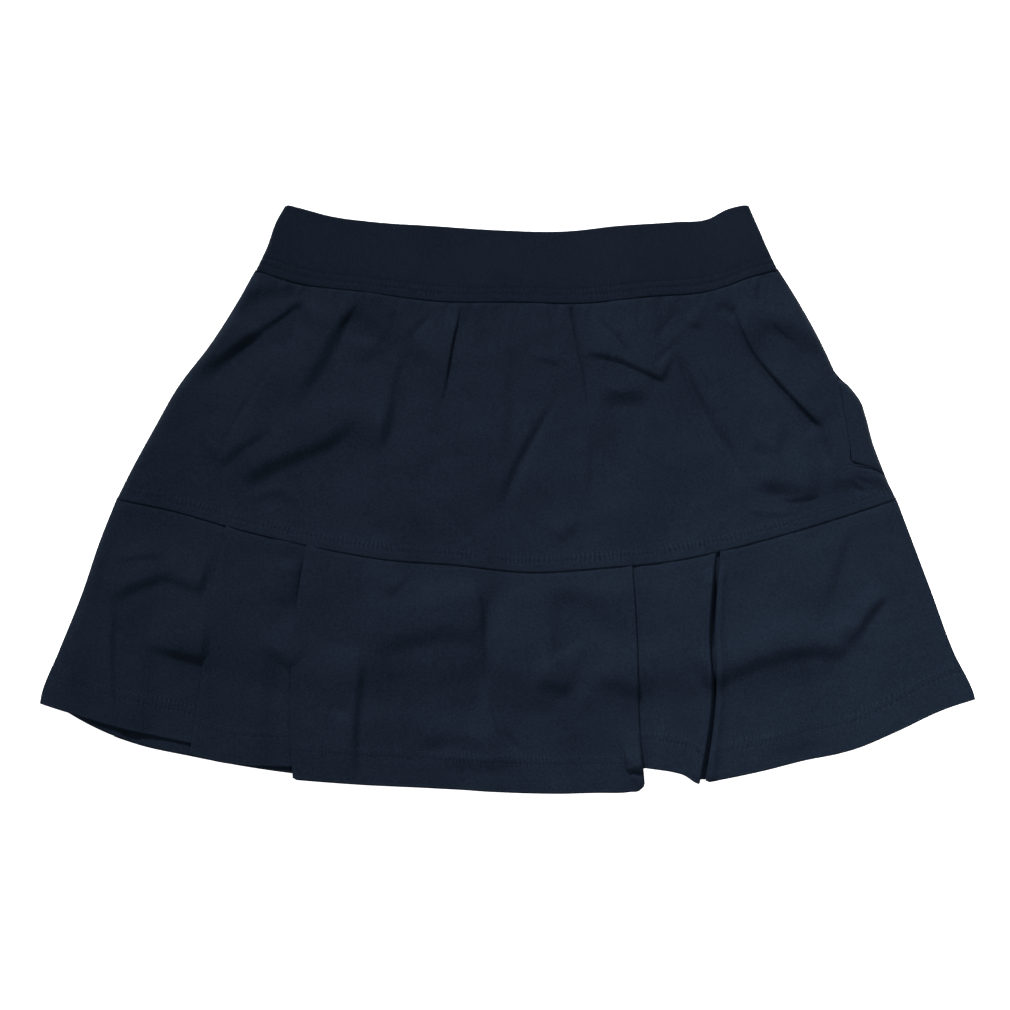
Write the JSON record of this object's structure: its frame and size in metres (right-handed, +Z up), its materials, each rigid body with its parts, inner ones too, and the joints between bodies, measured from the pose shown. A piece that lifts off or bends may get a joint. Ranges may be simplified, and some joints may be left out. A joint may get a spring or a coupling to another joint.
{
  "type": "tennis skort",
  "caption": "Dark navy tennis skort laid flat, front up: wide waistband, A-line skirt with a pleated flounce, inner shorts and a side pocket.",
  "frame": {"origin": "middle of the footprint, on the surface the skort lies on", "axes": "+X across the garment towards the pocket side, +Y towards the waist, +Z up, out of the front"},
  "size_m": [0.6557, 0.4133, 0.0107],
  "materials": {
    "skirt_cloth": "matte",
    "waistband_cloth": "matte",
    "lining_cloth": "matte"
  },
  "bodies": {
    "root": {"waistband": "waistband_cloth", "skirt_front": "skirt_cloth", "skirt_back": "skirt_cloth", "flounce_front": "skirt_cloth", "flounce_back": "skirt_cloth", "shorts_front": "lining_cloth", "shorts_back": "lining_cloth", "pocket_bag": "lining_cloth"}
  },
  "joints": []
}
